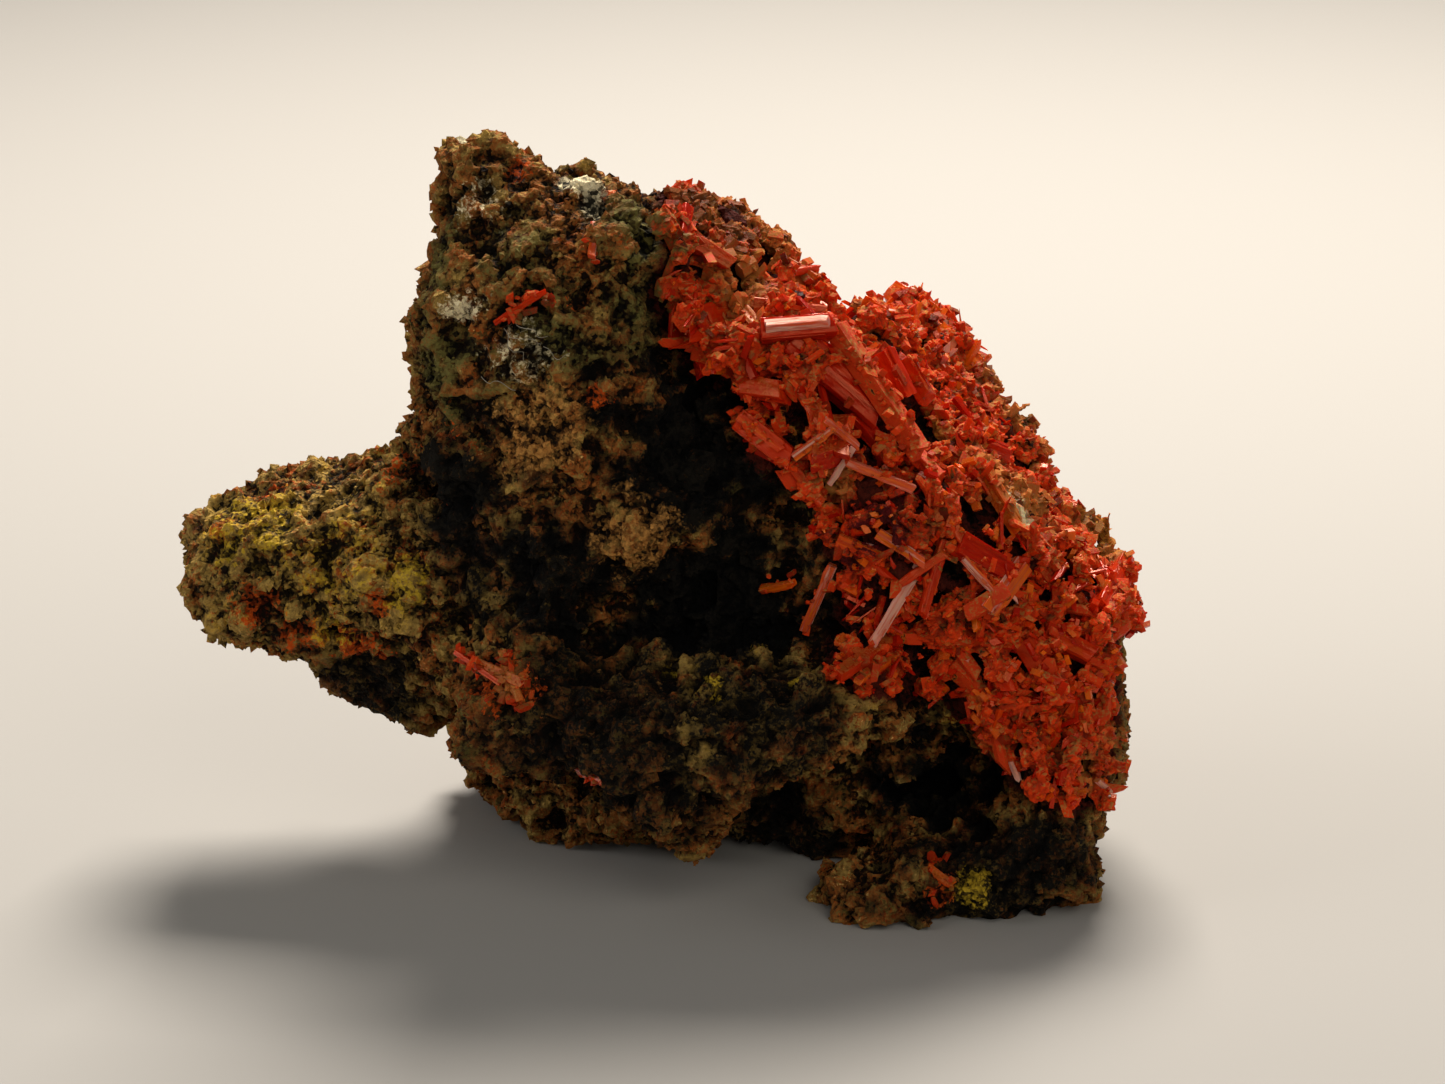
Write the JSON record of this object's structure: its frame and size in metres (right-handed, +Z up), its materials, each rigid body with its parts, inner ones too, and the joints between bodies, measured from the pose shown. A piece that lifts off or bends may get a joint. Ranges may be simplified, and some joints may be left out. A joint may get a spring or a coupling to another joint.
{
  "type": "crocoite crystal cluster on gossan matrix",
  "caption": "Small mineral specimen: a craggy brown iron oxide rock with slender red and orange crystals grown over one shoulder, resting on its own flat feet.",
  "frame": {"origin": "on the surface that the rock stands on, under the middle of the specimen's box", "axes": "+Z up; -Y towards the viewer of the best side; +X along the length, from the bare left lobe to the crystal covered right end"},
  "size_m": [0.042, 0.024, 0.0323],
  "materials": {
    "gossan": "rough earthy iron oxide rock, dark brown to black with tan, ochre, rust and olive patches and crumbly grains",
    "crocoite": "translucent deep red to orange-red crystal with bright, lengthwise grooved faces",
    "dusted_crocoite": "orange-red crystal dulled by a thin coat of orange-brown iron oxide dust",
    "pale_crocoite": "thin, bright prisms whose lit faces read as pink or nearly white"
  },
  "bodies": {
    "root": {"matrix": "gossan", "upper_crystals": "crocoite", "pale_prism_cluster": "pale_crocoite", "slope_crystals": "crocoite", "lower_crystals": "dusted_crocoite", "right_knob_crystals": "crocoite", "ridge_crystals": "dusted_crocoite", "back_hump_crystals": "dusted_crocoite", "summit_crystal": "pale_crocoite", "face_crystal": "crocoite", "front_left_crystals": "crocoite", "ledge_crystal": "pale_crocoite", "hollow_crystal": "dusted_crocoite", "trailing_crystal": "pale_crocoite", "back_crystals": "dusted_crocoite", "back_low_crystals": "pale_crocoite", "toe_crystal": "dusted_crocoite"}
  },
  "joints": []
}
